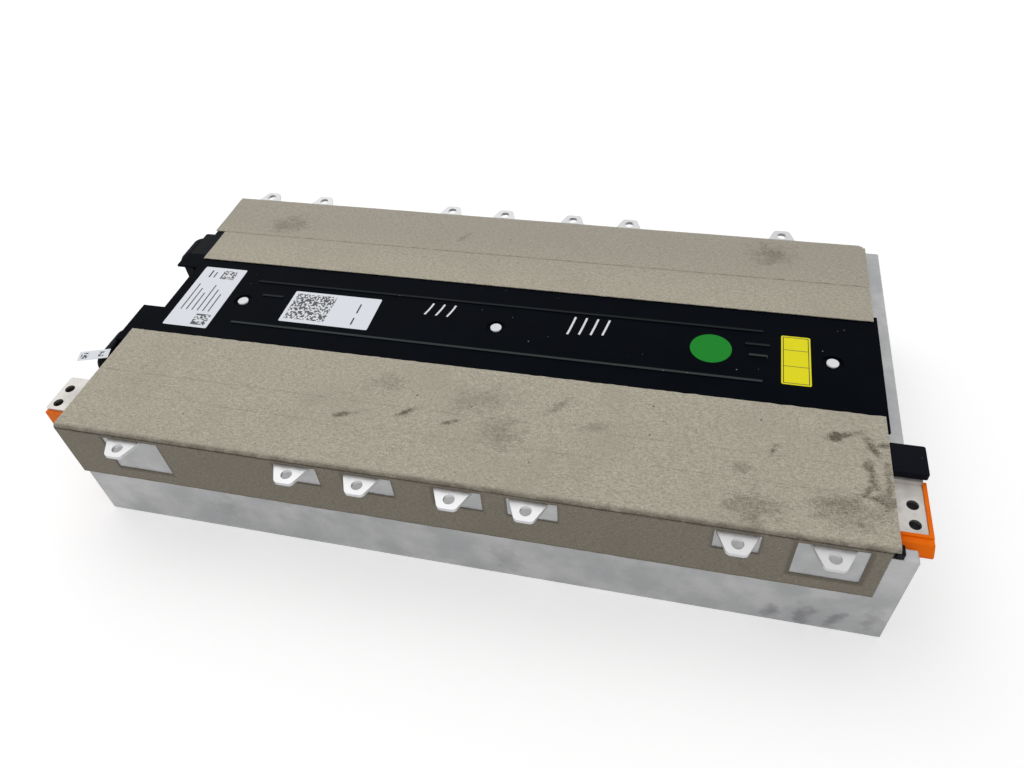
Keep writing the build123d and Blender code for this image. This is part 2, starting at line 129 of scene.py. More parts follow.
# ------------------------------------------------------------------ node helpers
def material(name):
    """A new node material: (material, its node tree, its Principled shader)."""
    made = bpy.data.materials.new(f"{name}_finish")
    made.use_nodes = True
    tree = made.node_tree
    return made, tree, tree.nodes["Principled BSDF"]


def node(tree, kind, **values):
    """A node of that kind with those of its sockets set."""
    made = tree.nodes.new(kind)
    for key, value in values.items():
        made.inputs[key].default_value = value
    return made


def maths(tree, operation, a, b=None, clamp=False):
    """A Math node whose inputs are numbers or sockets; gives its output socket."""
    made = tree.nodes.new("ShaderNodeMath")
    made.operation = operation
    made.use_clamp = clamp
    for slot, value in zip(made.inputs, (a, b)):
        if value is None:
            continue
        if isinstance(value, bpy.types.NodeSocket):
            tree.links.new(value, slot)
        else:
            slot.default_value = value
    return made.outputs[0]


def mix_colour(tree, factor, a, b, blend="MIX"):
    """A colour Mix node; each input is a colour or a socket."""
    made = tree.nodes.new("ShaderNodeMix")
    made.data_type = "RGBA"
    made.blend_type = blend
    for slot, value in ((made.inputs[0], factor), (made.inputs[6], a), (made.inputs[7], b)):
        if isinstance(value, bpy.types.NodeSocket):
            tree.links.new(value, slot)
        else:
            slot.default_value = value if isinstance(value, float) else (*value, 1.0)
    return made.outputs[2]


def ramp(tree, value, low, high):
    """value taken from low..high to 0..1, smoothly."""
    made = tree.nodes.new("ShaderNodeMapRange")
    made.interpolation_type = "SMOOTHSTEP"
    made.inputs["From Min"].default_value = low
    made.inputs["From Max"].default_value = high
    tree.links.new(value, made.inputs["Value"])
    return made.outputs[0]


def object_place(tree, scale=(1.0, 1.0, 1.0), place=(0.0, 0.0, 0.0), turn=0.0):
    """Object coordinates, moved, turned about Z and scaled."""
    coords = tree.nodes.new("ShaderNodeTexCoord")
    mapping = tree.nodes.new("ShaderNodeMapping")
    mapping.vector_type = "TEXTURE"
    mapping.inputs["Location"].default_value = place
    mapping.inputs["Rotation"].default_value = (0.0, 0.0, turn)
    mapping.inputs["Scale"].default_value = scale
    tree.links.new(coords.outputs["Object"], mapping.inputs["Vector"])
    return mapping.outputs[0]


def speckle(tree, size, detail=4.0, rough=0.55, stretch=(1.0, 1.0, 1.0), distort=0.0):
    """Noise whose features are about size metres across, drawn out along an axis by stretch."""
    place = object_place(tree, scale=tuple(size * s for s in stretch))
    made = node(tree, "ShaderNodeTexNoise", Scale=1.0, Detail=detail, Roughness=rough, Distortion=distort)
    tree.links.new(place, made.inputs["Vector"])
    return made.outputs["Fac"]


def bump(tree, shader, height, strength, distance):
    """Feeds a height into the shader's normal."""
    made = node(tree, "ShaderNodeBump", Strength=strength, Distance=distance)
    tree.links.new(height, made.inputs["Height"])
    tree.links.new(made.outputs[0], shader.inputs["Normal"])


def smudge_group():
    """A shared group: the mask of one smudge with a broken edge, in Object coordinates."""
    group = bpy.data.node_groups.new("Smudge", "ShaderNodeTree")
    face = group.interface
    for name, kind in (("Place", "Vector"), ("Strength", "Float"), ("Break", "Float")):
        face.new_socket(name, in_out="INPUT", socket_type=f"NodeSocket{kind}")
    face.new_socket("Mask", in_out="OUTPUT", socket_type="NodeSocketFloat")
    start = group.nodes.new("NodeGroupInput")
    end = group.nodes.new("NodeGroupOutput")
    length = group.nodes.new("ShaderNodeVectorMath")
    length.operation = "LENGTH"
    group.links.new(start.outputs["Place"], length.inputs[0])
    far = maths(group, "ADD", length.outputs["Value"], maths(group, "MULTIPLY", start.outputs["Break"], 0.9))
    near = ramp(group, maths(group, "SUBTRACT", 1.35, far), 0.0, 1.3)
    group.links.new(maths(group, "MULTIPLY", near, start.outputs["Strength"]), end.inputs["Mask"])
    return group


def smudges(tree, marks, rough_edge, plane="XY"):
    """The strongest of several smudges at each point, as one mask."""
    group = bpy.data.node_groups.get("Smudge") or smudge_group()
    coords = tree.nodes.new("ShaderNodeTexCoord")
    total = None
    for x, y, length, width, angle, strength in marks:
        mapping = tree.nodes.new("ShaderNodeMapping")
        mapping.vector_type = "TEXTURE"
        turn = math.radians(angle)
        if plane == "XY":
            mapping.inputs["Location"].default_value = (x * MM, y * MM, 0.0)
            mapping.inputs["Rotation"].default_value = (0.0, 0.0, turn)
            mapping.inputs["Scale"].default_value = (length / 2 * MM, width / 2 * MM, UNLIMITED)
        else:
            mapping.inputs["Location"].default_value = (x * MM, 0.0, y * MM)
            mapping.inputs["Rotation"].default_value = (0.0, -turn, 0.0)
            mapping.inputs["Scale"].default_value = (length / 2 * MM, UNLIMITED, width / 2 * MM)
        tree.links.new(coords.outputs["Object"], mapping.inputs["Vector"])
        mark = tree.nodes.new("ShaderNodeGroup")
        mark.node_tree = group
        mark.inputs["Strength"].default_value = strength
        tree.links.new(mapping.outputs[0], mark.inputs["Place"])
        tree.links.new(rough_edge, mark.inputs["Break"])
        total = mark.outputs[0] if total is None else maths(tree, "MAXIMUM", total, mark.outputs[0])
    return total


def crease_lines(tree):
    """Faint lines along the module where the front sheet was once folded."""
    split = tree.nodes.new("ShaderNodeSeparateXYZ")
    tree.links.new(object_place(tree), split.inputs[0])
    total = None
    for y in CREASES:
        away = maths(tree, "ABSOLUTE", maths(tree, "SUBTRACT", split.outputs["Y"], y * MM))
        line = maths(tree, "SUBTRACT", 1.0, ramp(tree, away, 0.0, 0.9 * MM))
        total = line if total is None else maths(tree, "MAXIMUM", total, line)
    return total


def attribute(tree, name):
    """A mesh's own float attribute."""
    made = tree.nodes.new("ShaderNodeAttribute")
    made.attribute_name = name
    return made.outputs["Fac"]


# ------------------------------------------------------------------ materials
def cloth_material():
    """Stained grey-beige glass cloth: slubby threads and smudges, painted shade along the fold, under the
    front fold and on the hanging part, and darker cut edges.
    """
    made, tree, shader = material("wrap_cloth")
    warp = speckle(tree, 0.0008, 2.0, 0.6, stretch=(4.0, 1.0, 1.0))
    weft = speckle(tree, 0.0008, 2.0, 0.6, stretch=(1.0, 3.0, 3.0))
    grain = speckle(tree, 0.0007, 2.0, 0.7)
    cloud = speckle(tree, 0.060, 4.0, 0.6)
    threads = maths(tree, "ADD", maths(tree, "MULTIPLY", warp, 0.38), maths(tree, "MULTIPLY", weft, 0.24))
    threads = maths(tree, "ADD", threads, maths(tree, "MULTIPLY", grain, 0.38))
    tone = ramp(tree, threads, 0.33, 0.67)
    colour = mix_colour(tree, tone, (0.315, 0.284, 0.222), (0.65, 0.60, 0.49))
    split = tree.nodes.new("ShaderNodeSeparateXYZ")
    tree.links.new(object_place(tree), split.inputs[0])
    greyer = maths(tree, "MULTIPLY", ramp(tree, split.outputs["Y"], 60.0 * MM, 130.0 * MM), 0.32)
    colour = mix_colour(tree, greyer, colour, (0.27, 0.26, 0.225))
    specks = ramp(tree, speckle(tree, 0.0045, 1.0, 0.4), 0.79, 0.82)
    colour = mix_colour(tree, maths(tree, "MULTIPLY", specks, 0.8), colour, (0.05, 0.042, 0.036))
    clouded = maths(tree, "MULTIPLY", ramp(tree, cloud, 0.45, 0.75), 0.5)
    colour = mix_colour(tree, clouded, colour, (0.40, 0.365, 0.29))
    broken = ramp(tree, speckle(tree, 0.02, 4.0, 0.6), 0.35, 0.6)
    creases = maths(tree, "MULTIPLY", crease_lines(tree), broken)
    colour = mix_colour(tree, maths(tree, "MULTIPLY", creases, 0.35), colour, (0.20, 0.18, 0.14))
    torn = maths(tree, "SUBTRACT", speckle(tree, 0.009, 6.0, 0.75, stretch=(1.5, 1.0, 1.0)), 0.5)
    marks = smudges(tree, TOP_SMUDGES, maths(tree, "MULTIPLY", torn, 4.5))
    rubbed = maths(tree, "ADD", maths(tree, "MULTIPLY", ramp(tree, threads, 0.40, 0.60), -0.5), 1.05)
    dirt = maths(tree, "MULTIPLY", marks, rubbed, clamp=True)
    colour = mix_colour(tree, maths(tree, "MULTIPLY", dirt, 0.85), colour, (0.085, 0.066, 0.046))
    # Painted shade along the fold's rounded outer face, broken up by noise.
    fold_shade_noise = ramp(tree, speckle(tree, 0.012, 5.0, 0.7), 0.30, 0.60)
    fold_shade_amount = maths(tree, "ADD", maths(tree, "MULTIPLY", fold_shade_noise, 0.6), 0.35)
    fold = maths(tree, "MULTIPLY", attribute(tree, "fold"), maths(tree, "MULTIPLY", fold_shade_amount, 0.75))
    colour = mix_colour(tree, fold, colour, (0.060, 0.046, 0.032))
    # Painted shadow: a dark line under the front fold.
    down = maths(tree, "SUBTRACT", split.outputs["Z"], FOLD_SHADOW_LINE[1])
    out = maths(tree, "SUBTRACT", split.outputs["Y"], FOLD_SHADOW_LINE[0])
    away = maths(tree, "ADD", maths(tree, "ABSOLUTE", down), maths(tree, "ABSOLUTE", out))
    line = maths(tree, "MULTIPLY", maths(tree, "SUBTRACT", 1.0, ramp(tree, away, 0.7 * MM, 1.9 * MM)), 0.85)
    colour = mix_colour(tree, line, colour, (0.030, 0.022, 0.015))
    hem = maths(tree, "MULTIPLY", attribute(tree, "hem"), 0.5)
    colour = mix_colour(tree, hem, colour, (0.12, 0.10, 0.08))
    # Painted shade on the hanging part of the cloth, below the fold.
    flap_shade = maths(tree, "MULTIPLY", attribute(tree, "flap_shade"), 0.55)
    colour = mix_colour(tree, flap_shade, colour, (0.085, 0.068, 0.050))
    tree.links.new(colour, shader.inputs["Base Color"])
    shader.inputs["Roughness"].default_value = 0.88
    shader.inputs["Specular IOR Level"].default_value = 0.2
    shader.inputs["Sheen Weight"].default_value = 0.08
    bump(tree, shader, threads, 0.5, 0.0006)
    return made


def aluminium_material():
    """Mill-finish sheet: mottled, faintly streaked along the module, smudged near one corner; the lugs carry
    a painted highlight.
    """
    made, tree, shader = material("aluminium_case")
    mottle = speckle(tree, 0.030, 6.0, 0.62)
    streak = speckle(tree, 0.0012, 3.0, 0.5, stretch=(40.0, 40.0, 1.0))
    colour = mix_colour(tree, ramp(tree, mottle, 0.35, 0.70), (0.385, 0.39, 0.395), (0.53, 0.53, 0.535))
    colour = mix_colour(tree, maths(tree, "MULTIPLY", streak, 0.25), colour, (0.30, 0.30, 0.305))
    torn = maths(tree, "SUBTRACT", speckle(tree, 0.008, 4.0, 0.6), 0.5)
    marks = smudges(tree, METAL_SMUDGES, maths(tree, "MULTIPLY", torn, 3.0), plane="XZ")
    colour = mix_colour(tree, maths(tree, "MULTIPLY", marks, 0.6, clamp=True), colour, (0.17, 0.17, 0.18))
    split = tree.nodes.new("ShaderNodeSeparateXYZ")
    tree.links.new(object_place(tree), split.inputs[0])
    # Painted highlight: the lugs, beyond the plate's outer face, made paler.
    lug_highlight = ramp(tree, maths(tree, "ABSOLUTE", split.outputs["Y"]), *LUG_HIGHLIGHT_FROM)
    colour = mix_colour(tree, maths(tree, "MULTIPLY", lug_highlight, 0.65), colour, (0.72, 0.72, 0.73))
    tree.links.new(colour, shader.inputs["Base Color"])
    shader.inputs["Metallic"].default_value = 0.85
    rough = maths(tree, "ADD", maths(tree, "MULTIPLY", mottle, 0.30), 0.30)
    tree.links.new(rough, shader.inputs["Roughness"])
    bump(tree, shader, streak, 0.12, 0.0002)
    return made


def plastic_material(name, base, rough, grain_size=0.0009, dust=0.0, gloss=0.4):
    """Moulded plastic with a fine grain, and dust or scuffs where asked."""
    made, tree, shader = material(name)
    grain = speckle(tree, grain_size, 2.0, 0.6)
    cloud = speckle(tree, 0.035, 4.0, 0.6)
    lighter = tuple(min(1.0, c * 1.3 + 0.001) for c in base)
    colour = mix_colour(tree, ramp(tree, cloud, 0.40, 0.75), base, lighter)
    if dust:
        specks = ramp(tree, speckle(tree, 0.0030, 1.0, 0.4), 0.80, 0.83)
        colour = mix_colour(tree, maths(tree, "MULTIPLY", specks, dust), colour, (0.45, 0.45, 0.43))
    tree.links.new(colour, shader.inputs["Base Color"])
    uneven = maths(tree, "ADD", maths(tree, "MULTIPLY", cloud, 0.18), rough - 0.09)
    tree.links.new(uneven, shader.inputs["Roughness"])
    shader.inputs["Specular IOR Level"].default_value = gloss
    bump(tree, shader, grain, 0.25, 0.0001)
    return made


def cover_material():
    """Near-black moulded cover whose raised beads carry a painted highlight."""
    made, tree, shader = material("cover_plastic")
    cloud = speckle(tree, 0.035, 4.0, 0.6)
    clouded = ramp(tree, cloud, 0.40, 0.75)
    colour = mix_colour(tree, clouded, (0.0005, 0.0014, 0.0034), (0.0010, 0.0024, 0.0050))
    split = tree.nodes.new("ShaderNodeSeparateXYZ")
    tree.links.new(object_place(tree), split.inputs[0])
    # Painted highlight on the raised beads, stronger towards the front.
    raised = ramp(tree, split.outputs["Z"], *BEAD_HIGHLIGHT_FROM)
    near = ramp(tree, split.outputs["Y"], 20.0 * MM, 0.0)
    paler = maths(tree, "ADD", maths(tree, "MULTIPLY", near, 0.5), 0.35)
    colour = mix_colour(tree, maths(tree, "MULTIPLY", raised, paler), colour, (0.055, 0.062, 0.062))
    specks = ramp(tree, speckle(tree, 0.0028, 1.0, 0.4), 0.80, 0.83)
    colour = mix_colour(tree, maths(tree, "MULTIPLY", specks, 0.6), colour, (0.45, 0.45, 0.43))
    tree.links.new(colour, shader.inputs["Base Color"])
    shader.inputs["Roughness"].default_value = 0.5
    shader.inputs["Specular IOR Level"].default_value = 0.02
    bump(tree, shader, speckle(tree, 0.0009, 2.0, 0.6), 0.25, 0.0001)
    return made


def metal_material(name, base, rough, stretch=(12.0, 1.0, 1.0)):
    """Plain machined or plated metal with fine directional marks."""
    made, tree, shader = material(name)
    lines = speckle(tree, 0.0008, 3.0, 0.6, stretch=stretch)
    cloud = speckle(tree, 0.015, 4.0, 0.6)
    darker = tuple(c * 0.78 for c in base)
    colour = mix_colour(tree, ramp(tree, cloud, 0.4, 0.7), base, darker)
    tree.links.new(colour, shader.inputs["Base Color"])
    shader.inputs["Metallic"].default_value = 0.9
    uneven = maths(tree, "ADD", maths(tree, "MULTIPLY", lines, 0.25), rough - 0.12)
    tree.links.new(uneven, shader.inputs["Roughness"])
    bump(tree, shader, lines, 0.15, 0.0001)
    return made


def label_material(name, base, rough=0.35, soil=0.25):
    """Printed film or paper: nearly even, a little soiled in patches."""
    made, tree, shader = material(name)
    cloud = speckle(tree, 0.012, 5.0, 0.65)
    soiled = tuple(c * 0.72 for c in base)
    colour = mix_colour(tree, maths(tree, "MULTIPLY", ramp(tree, cloud, 0.5, 0.8), soil), base, soiled)
    tree.links.new(colour, shader.inputs["Base Color"])
    shader.inputs["Roughness"].default_value = rough
    shader.inputs["Specular IOR Level"].default_value = 0.12
    bump(tree, shader, cloud, 0.15, 0.0002)
    return made


def code_field_material():
    """A field of dark and light cells that carries no message."""
    made, tree, shader = material("print_cells")
    cells = node(tree, "ShaderNodeTexWhiteNoise")
    snap = tree.nodes.new("ShaderNodeVectorMath")
    snap.operation = "FLOOR"
    tree.links.new(object_place(tree, scale=(0.0013, 0.0013, 1.0)), snap.inputs[0])
    tree.links.new(snap.outputs[0], cells.inputs["Vector"])
    dark = maths(tree, "GREATER_THAN", cells.outputs["Value"], 0.48)
    colour = mix_colour(tree, dark, (0.80, 0.82, 0.86), (0.05, 0.05, 0.06))
    tree.links.new(colour, shader.inputs["Base Color"])
    shader.inputs["Roughness"].default_value = 0.4
    return made


SLOT_MATERIALS = {
    "aluminium_case": aluminium_material,
    "wrap_cloth": cloth_material,
    "thermal_pad": lambda: plastic_material("thermal_pad", (0.55, 0.60, 0.62), 0.8),
    "insulator": lambda: plastic_material("insulator", (0.30, 0.31, 0.33), 0.6),
    "liner_film": lambda: plastic_material("liner_film", (0.10, 0.22, 0.45), 0.35),
    "cell_can": lambda: metal_material("cell_can", (0.66, 0.67, 0.68), 0.4),
    "cell_foam": lambda: plastic_material("cell_foam", (0.16, 0.16, 0.17), 0.9),
    "tray": lambda: plastic_material("tray", (0.03, 0.03, 0.033), 0.6),
    "vent_shield": lambda: plastic_material("vent_shield", (0.55, 0.50, 0.42), 0.7),
    "busbar": lambda: metal_material("busbar", (0.74, 0.74, 0.73), 0.35),
    "terminal_metal": lambda: metal_material("terminal_metal", (0.56, 0.54, 0.51), 0.42, (1.0, 12.0, 1.0)),
    "insert_metal": lambda: metal_material("insert_metal", (0.20, 0.20, 0.21), 0.35),
    "orange_plastic": lambda: plastic_material("orange_plastic", (0.95, 0.165, 0.001), 0.45, gloss=0.1),
    "lid_plastic": lambda: plastic_material("lid_plastic", (0.002, 0.003, 0.006), 0.45, dust=0.3, gloss=0.05),
    "cover_plastic": cover_material,
    "clip_plastic": lambda: plastic_material("clip_plastic", (0.80, 0.82, 0.84), 0.45),
    "label_white": lambda: label_material("label_white", (0.87, 0.90, 0.96), soil=0.12),
    "label_yellow": lambda: label_material("label_yellow", (0.93, 0.85, 0.012), soil=0.1),
    "label_green": lambda: label_material("label_green", (0.008, 0.26, 0.022), 0.55, soil=0.1),
    "connector_plastic": lambda: plastic_material(
        "connector_plastic", (0.0015, 0.002, 0.004), 0.45, gloss=0.06),
    "cable_jacket": lambda: plastic_material("cable_jacket", (0.002, 0.0025, 0.005), 0.5, gloss=0.1),
}


made_materials = {}


def material_for(slot_name):
    """The shared material of a record slot, made the first time it is asked for."""
    if slot_name not in made_materials:
        made_materials[slot_name] = SLOT_MATERIALS[slot_name]()
    return made_materials[slot_name]


# ------------------------------------------------------------------ mesh helpers
def select_only(piece):
    """Makes piece the one selected, active object."""
    bpy.ops.object.select_all(action="DESELECT")
    piece.select_set(True)
    bpy.context.view_layer.objects.active = piece


def apply_modifier(piece, kind, **settings):
    """Adds a modifier, sets it and applies it."""
    select_only(piece)
    made = piece.modifiers.new(kind.title(), kind)
    for key, value in settings.items():
        setattr(made, key, value)
    bpy.ops.object.modifier_apply(modifier=made.name)


def finish_piece(piece, slot_name, paint=None):
    """Gives a new piece its material, the given one or its slot's, and its body."""
    piece.data.materials.clear()
    piece.data.materials.append(paint or material_for(slot_name))
    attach(piece, "root")
    return piece


def grid(name, columns, rows, place):
    """A grid of faces whose vertex at (u, v), each from 0 to 1, goes to place(u, v)."""
    bpy.ops.object.select_all(action="DESELECT")
    bpy.ops.mesh.primitive_grid_add(x_subdivisions=columns, y_subdivisions=rows, size=1.0, location=(0, 0, 0))
    piece = bpy.context.active_object
    piece.name = name
    for vertex in piece.data.vertices:
        vertex.co = place(vertex.co.x + 0.5, vertex.co.y + 0.5)
    return piece


def delete_faces(piece, unwanted):
    """Deletes the faces for whose centre unwanted is true."""
    select_only(piece)
    bpy.ops.object.mode_set(mode="EDIT")
    bpy.ops.mesh.select_mode(type="FACE")
    bpy.ops.mesh.select_all(action="DESELECT")
    bpy.ops.object.mode_set(mode="OBJECT")
    for face in piece.data.polygons:
        face.select = unwanted(face.center)
    bpy.ops.object.mode_set(mode="EDIT")
    bpy.ops.mesh.delete(type="FACE")
    bpy.ops.object.mode_set(mode="OBJECT")


def vertex_value(piece, name, value):
    """Stores value(point) on each vertex as a float attribute."""
    data = piece.data.attributes.new(name, "FLOAT", "POINT").data
    for vertex, entry in zip(piece.data.vertices, data):
        entry.value = value(vertex.co)


# ------------------------------------------------------------------ cloth wraps
def lug_rows(side):
    """The lugs of one side as (centre, window's left, window's right, window's foot), in metres."""
    rows = []
    for x, left, right, drop in LUGS:
        if side == BACK:
            x, left, right = BACK_SHIFT - x, right, left
        rows.append((x * MM, (x - left) * MM, (x + right) * MM, LUG_TOP - drop * MM))
    return rows


def in_window(side, point, grow=0.0):
    """True where a point of the hanging part lies in a window round a lug."""
    if not point.z < WINDOW_TOP + grow:
        return False
    return any(a - grow < point.x < b + grow and point.z > foot - grow for _, a, b, foot in lug_rows(side))


def ripple(x, s, amount):
    """Outward lift of the cloth: a slow, seeded unevenness, never negative."""
    slow = noise.noise(Vector((x * 14.0, s * 30.0, 3.1)))
    fine = noise.noise(Vector((x * 60.0, s * 90.0, 8.7)))
    return amount * (0.5 + 0.5 * slow + 0.15 * fine)


def wrap_sheet(name, side, settings):
    """A cloth sheet laid on top, folded over the long edge and hanging on the side plate."""
    low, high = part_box(name)
    thickness = settings.thickness * MM
    amount = settings.ripple * MM
    y_in = high.y if side == FRONT else low.y
    y_out = side * (max(abs(low.y), abs(high.y)) - WRAP_T)
    top = high.z - WRAP_T
    radius = FOLD_R[side]
    run = abs(y_out - y_in) - radius
    arc = radius * math.pi / 2
    hang = top - radius - low.z
    whole = run + arc + hang

    def place(u, v):
        x = low.x - LEFT_REACH[side] + u * (high.x - low.x + LEFT_REACH[side])
        s = v * whole
        ragged = 0.6 * MM * noise.noise(Vector((x * 130.0, s * 40.0, 1.0)))
        lift = SEAT_GAP + ripple(x, s, amount)
        if s <= run:
            if v == 0:
                lift = SEAT_GAP
            y = y_in + side * (s + (ragged if v == 0 else 0.0))
            point = Vector((x, y, top + lift))
        elif s <= run + arc:
            angle = (s - run) / radius
            reach = radius + lift
            point = Vector((x, y_out - side * radius + side * reach * math.sin(angle),
                            top - radius + reach * math.cos(angle)))
        else:
            down = s - run - arc
            point = Vector((x, y_out + side * lift, top - radius - down))
            if v == 1:
                point.z += 0.5 * ragged
        if u == 0 or u == 1:
            point.x += (ragged if u else -ragged) * 0.3
        return point

    step = settings.grid_step * MM
    piece = grid(f"cloth_{name}", round((high.x - low.x) / step), round(whole / step), place)
    def unwanted(centre):
        hanging = abs(centre.y) > abs(y_out) - 0.4 * MM and centre.z < top - 0.6 * radius
        if hanging and (in_window(side, centre) or centre.x > FLAP_RIGHT):
            return True
        from_corner = (high.x - centre.x) + (abs(y_out) - abs(centre.y))
        return side == BACK and from_corner < CORNER_CUT - WRAP_T

    delete_faces(piece, unwanted)
    fold_z = top - 0.55 * radius

    # Nearness to the fold's outer face, which carries the painted fold shade.
    def fold(point):
        over = math.hypot(abs(y_out) - abs(point.y), point.z - fold_z)
        return max(0.0, 1.0 - over / (3.0 * MM)) ** 0.5

    def hem(point):
        if abs(point.y) > abs(y_out) - 0.5 * MM and in_window(side, point, grow=1.6 * MM):
            return 1.0
        return max(0.0, 1.0 - (point.z - low.z) / (1.6 * MM)) if point.z < low.z + 2 * MM else 0.0

    vertex_value(piece, "fold", fold)
    vertex_value(piece, "hem", hem)
    # How far below the fold a point hangs, for the painted shade on the hanging part.
    vertex_value(piece, "flap_shade", lambda p: max(0.0, min(1.0, (fold_z - p.z) / (3 * MM))))
    apply_modifier(piece, "SOLIDIFY", thickness=thickness, offset=1.0)
    bpy.ops.object.shade_smooth_by_angle(angle=math.radians(40))
    finish_piece(piece, "wrap_cloth")
    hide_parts(name)
    return piece


def strip_sheet(settings):
    """The narrow middle sheet, laid flat beside the back one."""
    low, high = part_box("wrap_middle")
    amount = settings.ripple * MM
    top = high.z - WRAP_T
    width, length = high.y - low.y, high.x - low.x

    def place(u, v):
        x, y = low.x + u * length, low.y + v * width
        edge = 0.25 * MM * noise.noise(Vector((x * 120.0, 5.0, 2.0)))
        lift = SEAT_GAP + (0.0 if v in (0, 1) else ripple(x, y, amount))
        return Vector((x, y + (edge if v in (0, 1) else 0.0), top + lift))

    step = settings.grid_step * MM
    piece = grid("cloth_wrap_middle", round(length / step), round(width / step), place)
    vertex_value(piece, "fold", lambda p: 0.0)
    vertex_value(piece, "hem", lambda p: 0.8 if high.y - p.y < 0.7 * MM else 0.0)
    vertex_value(piece, "flap_shade", lambda p: 0.0)
    apply_modifier(piece, "SOLIDIFY", thickness=settings.thickness * MM, offset=1.0)
    bpy.ops.object.shade_smooth_by_angle(angle=math.radians(40))
    finish_piece(piece, "wrap_cloth")
    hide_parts("wrap_middle")
    return piece


def strands(name, starts):
    """Loose threads as one mesh: (root, direction, length, bend) each, in metres."""
    points, faces = [], []
    for root, aim, length, bend in starts:
        across = aim.orthogonal().normalized()
        other = aim.cross(across).normalized()
        first = len(points)
        for part, radius in ((0.0, 0.16), (0.5, 0.14), (1.0, 0.06)):
            centre = root + aim * (length * part) + bend * (math.sin(part * math.pi) + part * 0.4)
            for corner in range(3):
                turn = corner * 2 * math.pi / 3
                points.append(centre + (across * math.cos(turn) + other * math.sin(turn)) * (radius * MM))
        for ring in (0, 3):
            for corner in range(3):
                a, b = first + ring + corner, first + ring + (corner + 1) % 3
                faces.append((a, b, b + 3, a + 3))
        faces.append((first + 2, first + 1, first))
        faces.append((first + 6, first + 7, first + 8))
    mesh = bpy.data.meshes.new(name)
    mesh.from_pydata(points, [], faces)
    piece = bpy.data.objects.new(name, mesh)
    bpy.context.scene.collection.objects.link(piece)
    paint = label_material("loose_thread", (0.24, 0.205, 0.155), 0.9)
    return finish_piece(piece, "wrap_cloth", paint)


def fray():
    """Threads worn loose along the front fold, and at the feet of its windows."""
    low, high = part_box("wrap_front")
    chance = random.Random(11)
    face_y = low.y + 0.1 * MM
    starts = []
    for _ in range(330):
        x = chance.uniform(low.x + 4 * MM, FLAP_RIGHT)
        z = high.z - chance.uniform(1.5, 5.0) * MM
        aim = Vector((chance.uniform(-1.0, 1.0), -0.35, chance.uniform(-0.9, 0.5))).normalized()
        bend = Vector((chance.uniform(-0.6, 0.6), 0.0, chance.uniform(-0.5, 0.2))) * MM
        starts.append((Vector((x, face_y, z)), aim, chance.uniform(0.8, 2.8) * MM, bend))
    for _, left, right, foot in lug_rows(FRONT):
        for _ in range(22):
            x = chance.uniform(left, right)
            aim = Vector((chance.uniform(-0.8, 0.8), -0.15, 1.0)).normalized()
            root = Vector((x, face_y, foot - 0.2 * MM))
            starts.append((root, aim, chance.uniform(0.5, 1.5) * MM, Vector()))
    strands("cloth_fray", starts)


# ------------------------------------------------------------------ prints and marks
def flat_pieces(name, rectangles, height, slot_name, paint):
    """Thin rectangles (x0, x1, y0, y1 in millimetres) lying at one height, as one object."""
    bpy.ops.object.select_all(action="DESELECT")
    made = []
    for x0, x1, y0, y1 in rectangles:
        bpy.ops.mesh.primitive_plane_add(size=1.0, location=(0, 0, 0))
        tile = bpy.context.active_object
        size = Matrix.Diagonal(((x1 - x0) * MM, (y1 - y0) * MM, 1.0, 1.0))
        spot = Matrix.Translation(((x0 + x1) / 2 * MM, (y0 + y1) / 2 * MM, height))
        tile.data.transform(spot @ size)
        made.append(tile)
    for tile in made:
        tile.select_set(True)
    bpy.context.view_layer.objects.active = made[0]
    if len(made) > 1:
        bpy.ops.object.join()
    piece = bpy.context.active_object
    piece.name = name
    apply_modifier(piece, "SOLIDIFY", thickness=PRINT_GAP, offset=1.0)
    return finish_piece(piece, slot_name, paint)


def frame_bars(x0, x1, y0, y1, width):
    """The four bars of a rectangular outline."""
    return [(x0, x1, y0, y0 + width), (x0, x1, y1 - width, y1),
            (x0, x0 + width, y0, y1), (x1 - width, x1, y0, y1)]


def brush_stroke(name, points, height, width):
    """A round-ended pen stroke through points (x, y in millimetres), flattened on the cover."""
    curve = bpy.data.curves.new(name, "CURVE")
    curve.dimensions = "3D"
    curve.bevel_depth = width / 2 * MM
    curve.bevel_resolution = 3
    curve.use_fill_caps = True
    spline = curve.splines.new("NURBS")
    spline.points.add(len(points) - 1)
    for entry, (x, y) in zip(spline.points, points):
        entry.co = (x * MM, y * MM, 0.0, 1.0)
    spline.order_u = 3
    spline.use_endpoint_u = True
    drawn = bpy.data.objects.new(name, curve)
    bpy.context.scene.collection.objects.link(drawn)
    select_only(drawn)
    bpy.ops.object.convert(target="MESH")
    piece = bpy.context.active_object
    for vertex in piece.data.vertices:
        vertex.co.z = height + PRINT_GAP + vertex.co.z * 0.05
    return piece


def join_as(name, pieces):
    """Several meshes as one object."""
    bpy.ops.object.select_all(action="DESELECT")
    for piece in pieces:
        piece.select_set(True)
    bpy.context.view_layer.objects.active = pieces[0]
    bpy.ops.object.join()
    pieces[0].name = name
    return pieces[0]


